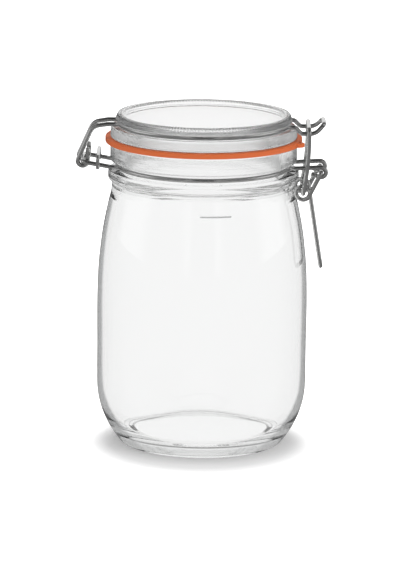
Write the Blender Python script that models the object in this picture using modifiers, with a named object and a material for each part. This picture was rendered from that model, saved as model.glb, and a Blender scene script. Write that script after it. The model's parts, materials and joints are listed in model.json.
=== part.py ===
"""Clip-top canning jar: a glass body and lid, a rubber ring and five bent wires.

Metres, +Z up. The origin is the centre of the base. The hinge is on the -X side, the clasp on +X.
The glass body's height sets where its neck is, and the pieces above it stack up from there.
"""
import math

import bmesh
import bpy
from mathutils import Matrix, Vector

MM = 0.001
WELD = 0.01 * MM

# Sizes shared by several pieces
GAP = 0.3 * MM
WIRE_R = 1.15 * MM
TURN_STEPS = 48
FULL_TURN = 2 * math.pi
BEND_STEP = math.radians(24)
RING_STEP = math.radians(7.5)

# Glass body, outside
BODY_R = 54.5 * MM
BODY_H = 157.35 * MM
BASE_RING_R = 43.4 * MM
BASE_RING_WIDTH = 4.9 * MM
BASE_ROUND = 0.9 * MM
PUSH_UP = 2.4 * MM
PUSH_UP_ROUND = 3.0 * MM
HEEL_H = 32.0 * MM
HEEL_POWER = 2.2
SHOULDER_H = 55.0 * MM
NECK_ROOT_DROP = 3.8 * MM
NECK_ROOT_INSET = 2.0 * MM
SHOULDER_SHARES = (
    (0.17, 0.045), (0.29, 0.11), (0.41, 0.205), (0.53, 0.32), (0.65, 0.47),
    (0.76, 0.64), (0.86, 0.805), (0.93, 0.935), (1.0, 1.0),
)

# Glass body, inside
WALL = 3.4 * MM
FLOOR_Z = 5.8 * MM
FLOOR_R = 41.0 * MM
INNER_HEEL_H = 30.0 * MM
INNER_HEEL_POWER = 3.5
MOUTH_WALL = 8.2 * MM

# Neck: a bead, the groove for the neck wire, and the ring that carries the rubber
BEAD_PROUD = 1.1 * MM
BEAD_H = 4.6 * MM
EDGE_ROUND = 0.6 * MM
GROOVE_H = 4.6 * MM
NECK_WIRE_INSET = 3.4 * MM
NECK_RING_R = 48.2 * MM
NECK_RING_H = 9.35 * MM
NECK_WIRE_RISE = 2.1 * MM

# Rubber ring
GASKET_PROUD = 2.6 * MM
GASKET_T = 2.55 * MM
GASKET_ROUND = 0.35 * MM
TAB_R = 3.5 * MM
TAB_REACH = 3.1 * MM
TAB_THINNER = 0.3 * MM
TAB_ANGLE = math.radians(-17)
TAB_HOLE_R = 0.9 * MM

# Glass lid
FLANGE_H = 5.3 * MM
FLANGE_ROUND = 1.2 * MM
LID_WIRE_INSET = 4.2 * MM
LIP_INSET = 2.6 * MM
LIP_H = 0.7 * MM
RIM_INSET = 1.1 * MM
RIM_H = 2.8 * MM
RIM_W = 2.5 * MM
RECESS = 3.4 * MM
RECESS_SLOPE = 1.2 * MM
PANEL_T = 4.6 * MM
LOCATING_LEDGE = 0.7 * MM
LOCATING_SHORT = 0.15 * MM
PLUG_CLEAR = 2.2 * MM
PLUG_H = 3.1 * MM
PLUG_W = 3.8 * MM

# Hinge: the neck wire's closed end is the pin, and the lid wire hooks under it
PIN_REACH = 13.9 * MM
PIN_RISE = 2.8 * MM
BRANCH_Y = 11.5 * MM
PIN_CORNER_R = 1.8 * MM
HOOK_Y = 8.7 * MM
POST_H = 6.9 * MM
LEG_Y = 7.1 * MM
LEG_LEAN = math.radians(24)
LEG_DROP = 1.25 * MM
LEG_BEND_R = 5.5 * MM
LEG_FLAT_REACH = 1.4 * MM
RING_EXIT_R = 3.0 * MM

# Neck clip, a staple over the two branches
CLIP_FROM_PIN = 7.9 * MM
CLIP_WIRE_R = 1.0 * MM
CLIP_RISE = 5.8 * MM
CLIP_H = 6.3 * MM
CLIP_CORNER_R = 1.6 * MM

# Clasp: the nose of the lid wire
PRONG_Y = 10.8 * MM
PRONG_INSET = 1.4 * MM
PRONG_DROP = 3.2 * MM
PRONG_BEND_R = 2.0 * MM
NOSE_RISE_REACH = 3.3 * MM
NOSE_REACH = 7.7 * MM
NOSE_Y = 9.0 * MM
NOSE_H = 4.6 * MM
NOSE_RISE_R = 6.0 * MM
NOSE_CORNER_R = 3.2 * MM

# Clasp: neck wire eyes, lever and bail
EYE_Y = 9.0 * MM
EYE_RISE = 0.8 * MM
LEVER_REACH = 6.5 * MM
EYE_TAIL = 4.2 * MM
EYE_WRAP = math.radians(205)
COIL_STAND_OFF = 2.0 * MM
COIL_DROP = 10.6 * MM
COIL_R = 3.45 * MM
HANDLE_Y = 10.8 * MM
HANDLE_L = 39.1 * MM
HANDLE_STAND_OFF = 6.6 * MM
HANDLE_CORNER_R = 4.0 * MM
PIN_END_R = 1.6 * MM
PIN_OVERRUN = 1.0 * MM
BAIL_CLEAR = 3.1 * MM
BAIL_BOW = 0.9 * MM
BAIL_CORNER_R = 2.6 * MM

# Heights and radii that follow from the sizes above
BORE_R = NECK_RING_R - MOUTH_WALL
BEAD_R = NECK_RING_R + BEAD_PROUD
NECK_ROOT_R = BEAD_R - NECK_ROOT_INSET
NECK_WIRE_RING_R = NECK_RING_R - NECK_WIRE_INSET
FLANGE_R = NECK_RING_R
LID_WIRE_RING_R = FLANGE_R - LID_WIRE_INSET
LIP_R = FLANGE_R - LIP_INSET
RIM_R = LIP_R - RIM_INSET
LOCATING_R = BORE_R + LOCATING_LEDGE
PLUG_R = BORE_R - PLUG_CLEAR
SEAT_Z = BODY_H
GROOVE_TOP_Z = SEAT_Z - NECK_RING_H
GROOVE_Z = GROOVE_TOP_Z - GROOVE_H
BEAD_Z = GROOVE_Z - BEAD_H
NECK_ROOT_Z = BEAD_Z - NECK_ROOT_DROP
WALL_TOP_Z = NECK_ROOT_Z - SHOULDER_H
GROOVE_R = NECK_WIRE_RING_R - WIRE_R - GAP
NECK_WIRE_Z = GROOVE_Z + NECK_WIRE_RISE
GASKET_Z = SEAT_Z + GAP
GASKET_BORE_R = LOCATING_R + GAP
GASKET_R = NECK_RING_R + GASKET_PROUD
LID_Z = GASKET_Z + GASKET_T + GAP
FLANGE_TOP_Z = LID_Z + FLANGE_H
LID_WIRE_Z = FLANGE_TOP_Z + GAP + WIRE_R
WAIST_R = LID_WIRE_RING_R - WIRE_R - GAP
LIP_Z = LID_WIRE_Z + WIRE_R + GAP
RIM_TOP_Z = LIP_Z + LIP_H + RIM_H
PANEL_Z = RIM_TOP_Z - RECESS
HOOK_R = 2 * WIRE_R + GAP
EYE_R = HOOK_R
LAYER = 2 * WIRE_R + GAP
ARM_Y = EYE_Y + LAYER
BAIL_Y = ARM_Y + LAYER
PIN_X = -(NECK_RING_R + PIN_REACH)
PIN_Z = NECK_WIRE_Z + PIN_RISE
LEG_FLAT_X = -(FLANGE_R + LEG_FLAT_REACH)
LEG_TOP_Z = LID_WIRE_Z - LEG_DROP
CLIP_X = PIN_X + CLIP_FROM_PIN
CLIP_Y = BRANCH_Y + WIRE_R + GAP + CLIP_WIRE_R
CLIP_TOP_Z = NECK_WIRE_Z + CLIP_RISE
PRONG_X = FLANGE_R - PRONG_INSET
PRONG_Z = LID_WIRE_Z - PRONG_DROP
BAIL_X = GASKET_R + BAIL_CLEAR
BAIL_Z = PRONG_Z + LAYER
NOSE_X = BAIL_X + NOSE_REACH
LEVER_X = BAIL_X + LEVER_REACH
LEVER_Z = NECK_WIRE_Z + EYE_RISE - EYE_R
COIL_X = BEAD_R + COIL_STAND_OFF
COIL_Z = LEVER_Z - COIL_DROP
HANDLE_X = BODY_R + HANDLE_STAND_OFF
HANDLE_Z = COIL_Z - HANDLE_L

GLASS = ("glass", (0.93, 0.95, 0.95, 1.0), 0.0, 0.03)
STEEL = ("steel", (0.62, 0.62, 0.61, 1.0), 1.0, 0.28)
RUBBER = ("rubber", (0.76, 0.23, 0.06, 1.0), 0.0, 0.55)


def clear_scene():
    """Removes every object that the file opens with."""
    for thing in list(bpy.data.objects):
        bpy.data.objects.remove(thing, do_unlink=True)


def new_collection(name):
    """A collection under the scene's own."""
    group = bpy.data.collections.new(name)
    bpy.context.scene.collection.children.link(group)
    return group


def finish(name, look):
    """A material of its own for one piece, from a look's colour, metallic value and roughness."""
    kind, colour, metallic, roughness = look
    material = bpy.data.materials.new(f"{name}_{kind}")
    material.use_nodes = True
    shader = material.node_tree.nodes["Principled BSDF"]
    shader.inputs["Base Color"].default_value = colour
    shader.inputs["Metallic"].default_value = metallic
    shader.inputs["Roughness"].default_value = roughness
    return material


def turned(name, outline, look, group):
    """A solid turned about Z from an outline at +X that ends on the axis or meets itself."""
    mesh = bpy.data.meshes.new(name)
    edges = [(i, i + 1) for i in range(len(outline) - 1)]
    mesh.from_pydata([(radius, 0.0, height) for radius, height in outline], edges, [])
    piece = bpy.data.objects.new(name, mesh)
    group.objects.link(piece)
    screw = piece.modifiers.new("turn", "SCREW")
    screw.axis = "Z"
    screw.angle = FULL_TURN
    screw.steps = TURN_STEPS
    screw.render_steps = TURN_STEPS
    screw.use_merge_vertices = True
    screw.merge_threshold = WELD
    weld = piece.modifiers.new("close the axis", "WELD")
    weld.merge_threshold = WELD
    mesh.materials.append(finish(name, look))
    return piece


def bent_wire(name, points, radius, group):
    """A round wire along the points, with closed ends."""
    curve = bpy.data.curves.new(name, "CURVE")
    curve.dimensions = "3D"
    curve.bevel_depth = radius
    curve.bevel_resolution = 2
    curve.use_fill_caps = True
    spline = curve.splines.new("POLY")
    spline.points.add(len(points) - 1)
    for knot, place in zip(spline.points, points):
        knot.co = (*place, 1.0)
    curve.materials.append(finish(name, STEEL))
    piece = bpy.data.objects.new(name, curve)
    group.objects.link(piece)
    return piece


def rounded(corners, radii):
    """The corners' straight runs, each inner corner rounded by an arc of its own radius."""
    corners = [Vector(corner) for corner in corners]
    path = [corners[0]]
    for before, corner, after, radius in zip(corners, corners[1:], corners[2:], radii):
        back = (before - corner).normalized()
        ahead = (after - corner).normalized()
        turn = math.pi - back.angle(ahead)
        start = corner + back * radius * math.tan(turn / 2)
        centre = corner + (back + ahead).normalized() * radius / math.cos(turn / 2)
        steps = max(2, math.ceil(turn / BEND_STEP))
        for step in range(steps + 1):
            angle = turn * step / steps
            path.append(centre + (start - centre) * math.cos(angle) - back * radius * math.sin(angle))
    path.append(corners[-1])
    return path


def arc_xz(centre_x, centre_z, radius, start, end, y_start, y_end):
    """An arc about the Y direction, whose Y place moves evenly from one value to the other."""
    steps = max(3, math.ceil(abs(end - start) / BEND_STEP))
    points = []
    for step in range(steps + 1):
        share = step / steps
        angle = start + (end - start) * share
        x = centre_x + radius * math.cos(angle)
        z = centre_z + radius * math.sin(angle)
        points.append(Vector((x, y_start + (y_end - y_start) * share, z)))
    return points


def exit_arc(ring_r, offset, side):
    """Centre and turn of the small bend where a ring's wire leaves it along X at y = -offset."""
    centre_x = math.sqrt((ring_r + RING_EXIT_R) ** 2 - (offset + RING_EXIT_R) ** 2)
    lean = math.atan2(offset + RING_EXIT_R, centre_x)
    return Vector((side * centre_x, -(offset + RING_EXIT_R))), lean


def front_half_ring(ring_r, hinge_offset, clasp_offset, height):
    """The front half of a ring, from its straight exit at the hinge to the one at the clasp."""
    quarter = math.pi / 2
    hinge, hinge_lean = exit_arc(ring_r, hinge_offset, -1)
    clasp, clasp_lean = exit_arc(ring_r, clasp_offset, 1)
    flat = []
    steps = math.ceil((quarter - min(hinge_lean, clasp_lean)) / BEND_STEP)
    for step in range(steps):
        angle = quarter + (hinge_lean - quarter) * step / steps
        flat.append(hinge + RING_EXIT_R * Vector((math.cos(angle), math.sin(angle))))
    first = math.pi + hinge_lean
    last = FULL_TURN - clasp_lean
    ring_steps = math.ceil((last - first) / RING_STEP)
    for step in range(ring_steps + 1):
        angle = first + (last - first) * step / ring_steps
        flat.append(ring_r * Vector((math.cos(angle), math.sin(angle))))
    for step in range(1, steps + 1):
        angle = math.pi - clasp_lean + (quarter - math.pi + clasp_lean) * step / steps
        flat.append(clasp + RING_EXIT_R * Vector((math.cos(angle), math.sin(angle))))
    return [Vector((point.x, point.y, height)) for point in flat]


def both_halves(half):
    """A path that ends on the XZ plane, carried on through its own reflection in that plane."""
    other = [Vector((point.x, -point.y, point.z)) for point in reversed(half[:-1])]
    return half + other


def carry(pieces, pivot):
    """Parents the pieces to a pivot and leaves them where they are."""
    for piece in pieces:
        piece.parent = pivot
        piece.matrix_parent_inverse = Matrix.Translation(-pivot.location)


def pivot_at(name, x, z, group):
    """An empty on a joint's axis, which runs along Y."""
    pivot = bpy.data.objects.new(name, None)
    pivot.location = (x, 0.0, z)
    group.objects.link(pivot)
    return pivot


def body_outline():
    """The glass body: up the inside, over the mouth, down the outside and in under the base."""
    inner_wall_r = BODY_R - WALL
    outline = [(0.0, FLOOR_Z), (FLOOR_R, FLOOR_Z)]
    for share in (0.06, 0.16, 0.3, 0.5, 1.0):
        radius = FLOOR_R + (inner_wall_r - FLOOR_R) * (1 - (1 - share) ** INNER_HEEL_POWER)
        outline.append((radius, FLOOR_Z + INNER_HEEL_H * share))
    shoulder_h = NECK_ROOT_Z - WALL_TOP_Z
    shoulder_in = BODY_R - NECK_ROOT_R
    outline.append((inner_wall_r, WALL_TOP_Z))
    for up_share, in_share in SHOULDER_SHARES[1::2]:
        outline.append((inner_wall_r - shoulder_in * in_share, WALL_TOP_Z + shoulder_h * up_share))
    outline.append((BORE_R + EDGE_ROUND, BEAD_Z))
    outline.append((BORE_R, GROOVE_Z))
    outline += [(BORE_R, SEAT_Z - 2 * EDGE_ROUND), (BORE_R + EDGE_ROUND, SEAT_Z - EDGE_ROUND / 2)]
    outline += [(BORE_R + 2 * EDGE_ROUND, SEAT_Z), (NECK_RING_R - EDGE_ROUND, SEAT_Z)]
    outline += [(NECK_RING_R, SEAT_Z - EDGE_ROUND), (NECK_RING_R, GROOVE_TOP_Z + EDGE_ROUND)]
    outline += [(NECK_RING_R - EDGE_ROUND, GROOVE_TOP_Z), (GROOVE_R + EDGE_ROUND, GROOVE_TOP_Z)]
    outline += [(GROOVE_R, GROOVE_TOP_Z - EDGE_ROUND), (GROOVE_R, GROOVE_Z + EDGE_ROUND)]
    outline += [(GROOVE_R + EDGE_ROUND, GROOVE_Z), (BEAD_R - EDGE_ROUND, GROOVE_Z)]
    outline += [(BEAD_R, GROOVE_Z - EDGE_ROUND), (BEAD_R, BEAD_Z + EDGE_ROUND)]
    outline += [(BEAD_R - EDGE_ROUND, BEAD_Z), (NECK_ROOT_R + EDGE_ROUND / 2, BEAD_Z - 2 * EDGE_ROUND)]
    for up_share, in_share in reversed(SHOULDER_SHARES):
        outline.append((BODY_R - shoulder_in * in_share, WALL_TOP_Z + shoulder_h * up_share))
    outline.append((BODY_R, WALL_TOP_Z))
    for share in (1.0, 0.72, 0.5, 0.32, 0.18, 0.08):
        radius = BASE_RING_R + (BODY_R - BASE_RING_R) * (1 - (1 - share) ** HEEL_POWER)
        outline.append((radius, BASE_ROUND + (HEEL_H - BASE_ROUND) * share))
    outline += [(BASE_RING_R, BASE_ROUND), (BASE_RING_R - BASE_ROUND, 0.0)]
    ring_inner = BASE_RING_R - BASE_RING_WIDTH
    outline += [(ring_inner, 0.0), (ring_inner - PUSH_UP_ROUND, PUSH_UP), (0.0, PUSH_UP)]
    return outline


def lid_outline():
    """The glass lid: over the top and the rim, down its side, and in along the underside."""
    recess_top_r = RIM_R - RIM_W
    panel_r = recess_top_r - RECESS_SLOPE
    underside_z = PANEL_Z - PANEL_T
    locating_z = LID_Z - GASKET_T + LOCATING_SHORT
    plug_z = locating_z - PLUG_H
    hollow_r = PLUG_R - PLUG_W
    edge = EDGE_ROUND / 2
    outline = [(0.0, PANEL_Z), (panel_r - edge, PANEL_Z), (panel_r, PANEL_Z + edge)]
    outline += [(recess_top_r, RIM_TOP_Z - edge), (recess_top_r + edge, RIM_TOP_Z)]
    outline += [(RIM_R - edge, RIM_TOP_Z), (RIM_R, RIM_TOP_Z - edge)]
    outline += [(LIP_R, LIP_Z + LIP_H), (LIP_R, LIP_Z + edge), (LIP_R - edge, LIP_Z), (WAIST_R, LIP_Z)]
    outline += [(WAIST_R, FLANGE_TOP_Z), (FLANGE_R - FLANGE_ROUND, FLANGE_TOP_Z)]
    outline += [(FLANGE_R - edge, FLANGE_TOP_Z - edge), (FLANGE_R, FLANGE_TOP_Z - FLANGE_ROUND)]
    outline += [(FLANGE_R, LID_Z + edge), (FLANGE_R - edge, LID_Z), (LOCATING_R, LID_Z)]
    outline += [(LOCATING_R, locating_z), (PLUG_R, locating_z), (PLUG_R, plug_z + EDGE_ROUND)]
    outline += [(PLUG_R - EDGE_ROUND, plug_z), (hollow_r + EDGE_ROUND, plug_z)]
    outline += [(hollow_r, plug_z + EDGE_ROUND), (hollow_r - EDGE_ROUND, underside_z - 2 * EDGE_ROUND)]
    outline += [(hollow_r - 3 * EDGE_ROUND, underside_z), (0.0, underside_z)]
    return outline


def gasket_outline():
    """The rubber ring's section, a closed loop that starts and ends at one point."""
    inner = GASKET_BORE_R
    top_z = GASKET_Z + GASKET_T
    edge = GASKET_ROUND
    loop = [(inner, GASKET_Z + edge), (inner, top_z - edge), (inner + edge, top_z)]
    loop += [(GASKET_R - edge, top_z), (GASKET_R, top_z - edge), (GASKET_R, GASKET_Z + edge)]
    loop += [(GASKET_R - edge, GASKET_Z), (inner + edge, GASKET_Z), (inner, GASKET_Z + edge)]
    return loop


def upright_cylinder(name, x, y, z, radius, height, group):
    """A hidden cylinder for a Boolean, standing on its own centre height."""
    mesh = bpy.data.meshes.new(name)
    shape = bmesh.new()
    bmesh.ops.create_cone(
        shape, cap_ends=True, segments=TURN_STEPS // 2, radius1=radius, radius2=radius, depth=height
    )
    shape.to_mesh(mesh)
    shape.free()
    cutter = bpy.data.objects.new(name, mesh)
    cutter.location = (x, y, z)
    cutter.hide_render = True
    cutter.display_type = "WIRE"
    group.objects.link(cutter)
    return cutter


def combine(piece, other, operation):
    """A Boolean of the piece with a hidden shape."""
    boolean = piece.modifiers.new(operation.lower(), "BOOLEAN")
    boolean.operation = operation
    boolean.solver = "EXACT"
    boolean.object = other


def make_gasket(group, cutters):
    """The rubber ring with its small round pull tab and the hole through the tab."""
    ring = turned("gasket", gasket_outline(), RUBBER, group)
    middle_z = GASKET_Z + GASKET_T / 2
    away = Vector((math.cos(TAB_ANGLE), math.sin(TAB_ANGLE)))
    tab_place = away * (GASKET_R + TAB_REACH - TAB_R)
    tab_height = GASKET_T - 2 * TAB_THINNER
    tab = upright_cylinder("tab_shape", *tab_place, middle_z, TAB_R, tab_height, cutters)
    hole_place = away * GASKET_R
    hole = upright_cylinder("tab_hole", *hole_place, middle_z, TAB_HOLE_R, 2 * GASKET_T, cutters)
    combine(ring, tab, "UNION")
    combine(ring, hole, "DIFFERENCE")
    return ring


def make_neck_wire(group):
    """The wire round the neck: its closed end is the hinge pin, its two ends are the lever's eyes."""
    ring = front_half_ring(NECK_WIRE_RING_R, BRANCH_Y, EYE_Y, NECK_WIRE_Z)
    pin = rounded([(PIN_X, 0.0, PIN_Z), (PIN_X, -BRANCH_Y, PIN_Z), ring[0]], [PIN_CORNER_R])
    quarter = math.pi / 2
    eye = arc_xz(LEVER_X, LEVER_Z, EYE_R, quarter, quarter - EYE_WRAP, -EYE_Y, -EYE_Y)
    heading = (eye[-1] - eye[-2]).normalized()
    half = pin[:-1] + ring + eye + [eye[-1] + heading * EYE_TAIL]
    half.reverse()
    return bent_wire("neck_wire", both_halves(half), WIRE_R, group)


def make_neck_clip(group):
    """The staple that keeps the neck wire's two branches together."""
    foot_z = CLIP_TOP_Z - CLIP_H
    corners = [(CLIP_X, -CLIP_Y, foot_z), (CLIP_X, -CLIP_Y, CLIP_TOP_Z), (CLIP_X, 0.0, CLIP_TOP_Z)]
    return bent_wire("neck_clip", both_halves(rounded(corners, [CLIP_CORNER_R])), CLIP_WIRE_R, group)


def make_lid_wire(group):
    """The wire round the lid, hooked under the pin at one side and turned up as a nose at the other."""
    ring = front_half_ring(LID_WIRE_RING_R, LEG_Y, PRONG_Y, LID_WIRE_Z)
    post_top = Vector((PIN_X + HOOK_R, -HOOK_Y, PIN_Z + POST_H))
    hook = arc_xz(PIN_X, PIN_Z, HOOK_R, 0.0, -math.pi - LEG_LEAN, -HOOK_Y, -HOOK_Y)
    leg_x = hook[-1].x + (LEG_TOP_Z - hook[-1].z) * math.tan(LEG_LEAN)
    leg = [hook[-1], (leg_x, -LEG_Y, LEG_TOP_Z), (LEG_FLAT_X, -LEG_Y, LID_WIRE_Z), ring[0]]
    leg_path = rounded(leg, [LEG_BEND_R, LEG_BEND_R])
    nose_z = PRONG_Z + NOSE_H
    prong = [
        ring[-1],
        (PRONG_X, -PRONG_Y, LID_WIRE_Z),
        (PRONG_X + PRONG_DROP, -PRONG_Y, PRONG_Z),
        (BAIL_X + NOSE_RISE_REACH, -PRONG_Y, PRONG_Z),
        (NOSE_X, -NOSE_Y, nose_z),
        (NOSE_X, 0.0, nose_z),
    ]
    prong_path = rounded(prong, [PRONG_BEND_R, PRONG_BEND_R, NOSE_RISE_R, NOSE_CORNER_R])
    half = [post_top] + hook + leg_path[1:-1] + ring + prong_path[1:]
    return bent_wire("lid_wire", both_halves(half), WIRE_R, group)


def make_lever(group):
    """The handle: up each side, once round as a coil, then out to its pivot in the neck wire's eye."""
    grip_angle = math.atan2(HANDLE_Z - COIL_Z, HANDLE_X - COIL_X)
    coil_start = grip_angle + math.acos(COIL_R / math.hypot(HANDLE_X - COIL_X, HANDLE_Z - COIL_Z))
    run_x = LEVER_X - COIL_X
    run_z = LEVER_Z - COIL_Z
    arm_angle = math.atan2(run_z, run_x) + math.asin(COIL_R / math.hypot(run_x, run_z))
    coil_end = FULL_TURN + arm_angle - math.pi / 2
    coil = arc_xz(COIL_X, COIL_Z, COIL_R, coil_start, coil_end, -EYE_Y, -ARM_Y)
    grip = [(HANDLE_X, 0.0, HANDLE_Z), (HANDLE_X, -HANDLE_Y, HANDLE_Z), coil[0]]
    pin_end_y = EYE_Y - WIRE_R - PIN_OVERRUN
    arm = [coil[-1], (LEVER_X, -ARM_Y, LEVER_Z), (LEVER_X, -pin_end_y, LEVER_Z)]
    half = rounded(grip, [HANDLE_CORNER_R])[:-1] + coil + rounded(arm, [PIN_END_R])[1:]
    half.reverse()
    return bent_wire("lever", both_halves(half), WIRE_R, group)


def make_bail(group):
    """The link from the lever's coils up over the lid wire's prongs, its legs slightly bowed."""
    pin_end_y = EYE_Y - WIRE_R - PIN_OVERRUN
    corners = [(COIL_X, -pin_end_y, COIL_Z), (COIL_X, -BAIL_Y, COIL_Z)]
    bow_steps = 4
    for step in range(1, bow_steps):
        share = step / bow_steps
        x = COIL_X + (BAIL_X - COIL_X) * share + BAIL_BOW * math.sin(math.pi * share)
        corners.append((x, -BAIL_Y, COIL_Z + (BAIL_Z - COIL_Z) * share))
    corners += [(BAIL_X, -BAIL_Y, BAIL_Z), (BAIL_X, 0.0, BAIL_Z)]
    bow_r = BAIL_Z - COIL_Z
    radii = [PIN_END_R] + [bow_r] * (bow_steps - 1) + [BAIL_CORNER_R]
    return bent_wire("bail", both_halves(rounded(corners, radii)), WIRE_R, group)


def build_jar():
    """Makes every piece and parents what moves to the pivot that it turns on."""
    clear_scene()
    group = new_collection("canning_jar")
    cutters = new_collection("cutters")
    turned("jar_body", body_outline(), GLASS, group)
    make_neck_wire(group)
    make_neck_clip(group)
    lid = turned("lid", lid_outline(), GLASS, group)
    gasket = make_gasket(group, cutters)
    lid_wire = make_lid_wire(group)
    lever = make_lever(group)
    bail = make_bail(group)
    carry([lid, gasket, lid_wire], pivot_at("lid_hinge", PIN_X, PIN_Z, group))
    lever_pivot = pivot_at("lever_pivot", LEVER_X, LEVER_Z, group)
    bail_pivot = pivot_at("bail_pivot", COIL_X, COIL_Z, group)
    carry([lever, bail_pivot], lever_pivot)
    carry([bail], bail_pivot)
    for piece in group.objects:
        if piece.type == "MESH":
            piece.data.shade_smooth()


build_jar()
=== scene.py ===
# %% [markdown]
# # A clip-top canning jar
# The jar is pressed clear glass with a glass lid, an orange rubber ring and five bent steel wires. Its
# sizes and joints come from a fixed frame, and this lesson gives the frame its finished surfaces.
# Glass shows every flat facet, so each piece is worked out afresh as a smooth surface with numpy and
# stands for one plain solid of the frame. Lengths are in metres, hinge at -X, clasp at +X.

# %% Load the frame
import json
import math

import bpy
import numpy as np
from mathutils import Matrix

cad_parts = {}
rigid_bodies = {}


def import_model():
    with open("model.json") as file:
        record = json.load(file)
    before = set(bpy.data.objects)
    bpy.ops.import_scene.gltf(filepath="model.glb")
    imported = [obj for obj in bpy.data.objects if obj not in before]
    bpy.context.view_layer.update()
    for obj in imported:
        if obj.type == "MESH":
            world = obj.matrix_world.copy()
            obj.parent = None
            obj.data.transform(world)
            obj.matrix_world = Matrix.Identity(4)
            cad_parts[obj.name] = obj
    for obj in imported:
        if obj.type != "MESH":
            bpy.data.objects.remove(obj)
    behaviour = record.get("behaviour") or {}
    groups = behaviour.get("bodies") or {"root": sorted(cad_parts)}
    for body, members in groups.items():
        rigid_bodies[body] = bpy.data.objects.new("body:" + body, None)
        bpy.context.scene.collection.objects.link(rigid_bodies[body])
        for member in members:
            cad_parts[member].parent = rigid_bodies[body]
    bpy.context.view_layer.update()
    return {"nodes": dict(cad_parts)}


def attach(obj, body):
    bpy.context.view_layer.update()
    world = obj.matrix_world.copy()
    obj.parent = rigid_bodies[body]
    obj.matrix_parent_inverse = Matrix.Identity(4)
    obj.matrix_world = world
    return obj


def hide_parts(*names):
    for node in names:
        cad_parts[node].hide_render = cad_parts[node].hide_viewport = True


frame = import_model()
MM = 0.001
print("nodes:", sorted(frame["nodes"]))

# %% [markdown]
# ## Surfaces on a grid
# A turned jar and a bent wire are both one grid of points: rows along a profile or a path, columns
# round it. A grid wraps round without a seam when its last column joins the first. The two open ends
# are closed by one point each, so every piece is a watertight body with its faces outwards.


# %% Turn a grid of points into a mesh
def grid_faces(rows, columns):
    """Quads between row i and row i + 1, columns j and j + 1, where the last column joins the first."""
    i, j = np.meshgrid(np.arange(rows - 1), np.arange(columns), indexing="ij")
    beside = (j + 1) % columns
    row, next_row = i * columns, (i + 1) * columns
    return np.stack([row + j, row + beside, next_row + beside, next_row + j], -1).reshape(-1, 4)


def mesh_from(name, points, quads, triangles, uv=None):
    """A smooth mesh from point, quad and triangle arrays, with a UV pair for each point if given."""
    mesh = bpy.data.meshes.new(name)
    corners = np.concatenate([quads.ravel(), triangles.ravel()]).astype(np.int32)
    sizes = np.concatenate([np.full(len(quads), 4), np.full(len(triangles), 3)]).astype(np.int32)
    mesh.vertices.add(len(points))
    mesh.vertices.foreach_set("co", points.astype(np.float32).ravel())
    mesh.loops.add(len(corners))
    mesh.loops.foreach_set("vertex_index", corners)
    mesh.polygons.add(len(sizes))
    starts = np.concatenate([[0], np.cumsum(sizes)[:-1]]).astype(np.int32)
    mesh.polygons.foreach_set("loop_start", starts)
    if uv is not None:
        layer = mesh.uv_layers.new(name="along")
        layer.uv.foreach_set("vector", uv[corners].astype(np.float32).ravel())
    mesh.update(calc_edges=True)
    mesh.shade_smooth()
    piece = bpy.data.objects.new(name, mesh)
    bpy.context.scene.collection.objects.link(piece)
    print(f"{name}: {len(points)} points, {2 * len(quads) + len(triangles)} triangles")
    return piece


def closed_grid(name, grid, first, last, uv=None):
    """A grid of rows by columns, closed by a fan to the point first and a fan to the point last."""
    rows, columns, _ = grid.shape
    points = np.concatenate([grid.reshape(-1, 3), [first, last]])
    j = np.arange(columns)
    beside = (j + 1) % columns
    last_row = (rows - 1) * columns
    fan_first = np.stack([np.full(columns, rows * columns), beside, j], -1)
    fan_last = np.stack([np.full(columns, rows * columns + 1), last_row + j, last_row + beside], -1)
    triangles = np.concatenate([fan_first, fan_last])
    if uv is not None:
        uv = np.concatenate([uv.reshape(-1, 2), [uv[0, 0], uv[-1, 0]]])
    return mesh_from(name, points, grid_faces(rows, columns), triangles, uv)


# %% [markdown]
# ## Profiles with round corners
# Pressed glass has no sharp edge: the mould leaves a small radius everywhere, and those radii draw the
# thin dark and bright lines that make a jar look like glass. So a profile is a list of corners, each
# with its own radius, and the straight runs between them are joined by true arcs. Smooth shading blends
# the light from point to point, so a long flat run needs one more point close to each of its ends.


# %% Round the corners of a path and even out its points
ARC_STEP, COARSE_ARC_STEP = math.radians(9), math.radians(18)
SAME_POINT = 1e-7


def rounded(corners, radii, step=ARC_STEP):
    """The path through the corners. At each inner corner of radius r the two runs stop short by
    r * tan(turn / 2), and an arc of that radius joins them: centre - back * r * sin + start * cos."""
    corners = np.asarray(corners, float)
    path = [corners[0]]
    for before, corner, after, radius in zip(corners, corners[1:], corners[2:], radii):
        back = (before - corner) / np.linalg.norm(before - corner)
        ahead = (after - corner) / np.linalg.norm(after - corner)
        turn = math.pi - math.acos(np.clip(back @ ahead, -1, 1))
        if radius == 0 or turn < 1e-4:
            path.append(corner)
            continue
        start = corner + back * radius * math.tan(turn / 2)
        middle = (back + ahead) / np.linalg.norm(back + ahead)
        centre = corner + middle * radius / math.cos(turn / 2)
        angle = np.linspace(0, turn, max(3, math.ceil(turn / step) + 1))[:, None]
        path += list(centre + (start - centre) * np.cos(angle) - back * radius * np.sin(angle))
    path.append(corners[-1])
    return np.array(path)


def evened(path, gap):
    """The same path with extra points on its long runs, so that no gap is wider than the one given."""
    runs = np.linalg.norm(np.diff(path, axis=0), axis=1)
    keep = np.concatenate([[True], runs > SAME_POINT])
    path, runs = path[keep], runs[runs > SAME_POINT]
    cuts = np.maximum(1, np.ceil(runs / gap).astype(int))
    run = np.repeat(np.arange(len(runs)), cuts)
    share = (np.arange(cuts.sum()) - np.repeat(np.cumsum(cuts) - cuts, cuts)) / cuts[run]
    inner = path[run] + (path[run + 1] - path[run]) * share[:, None]
    return np.concatenate([inner, path[-1:]])


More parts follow.
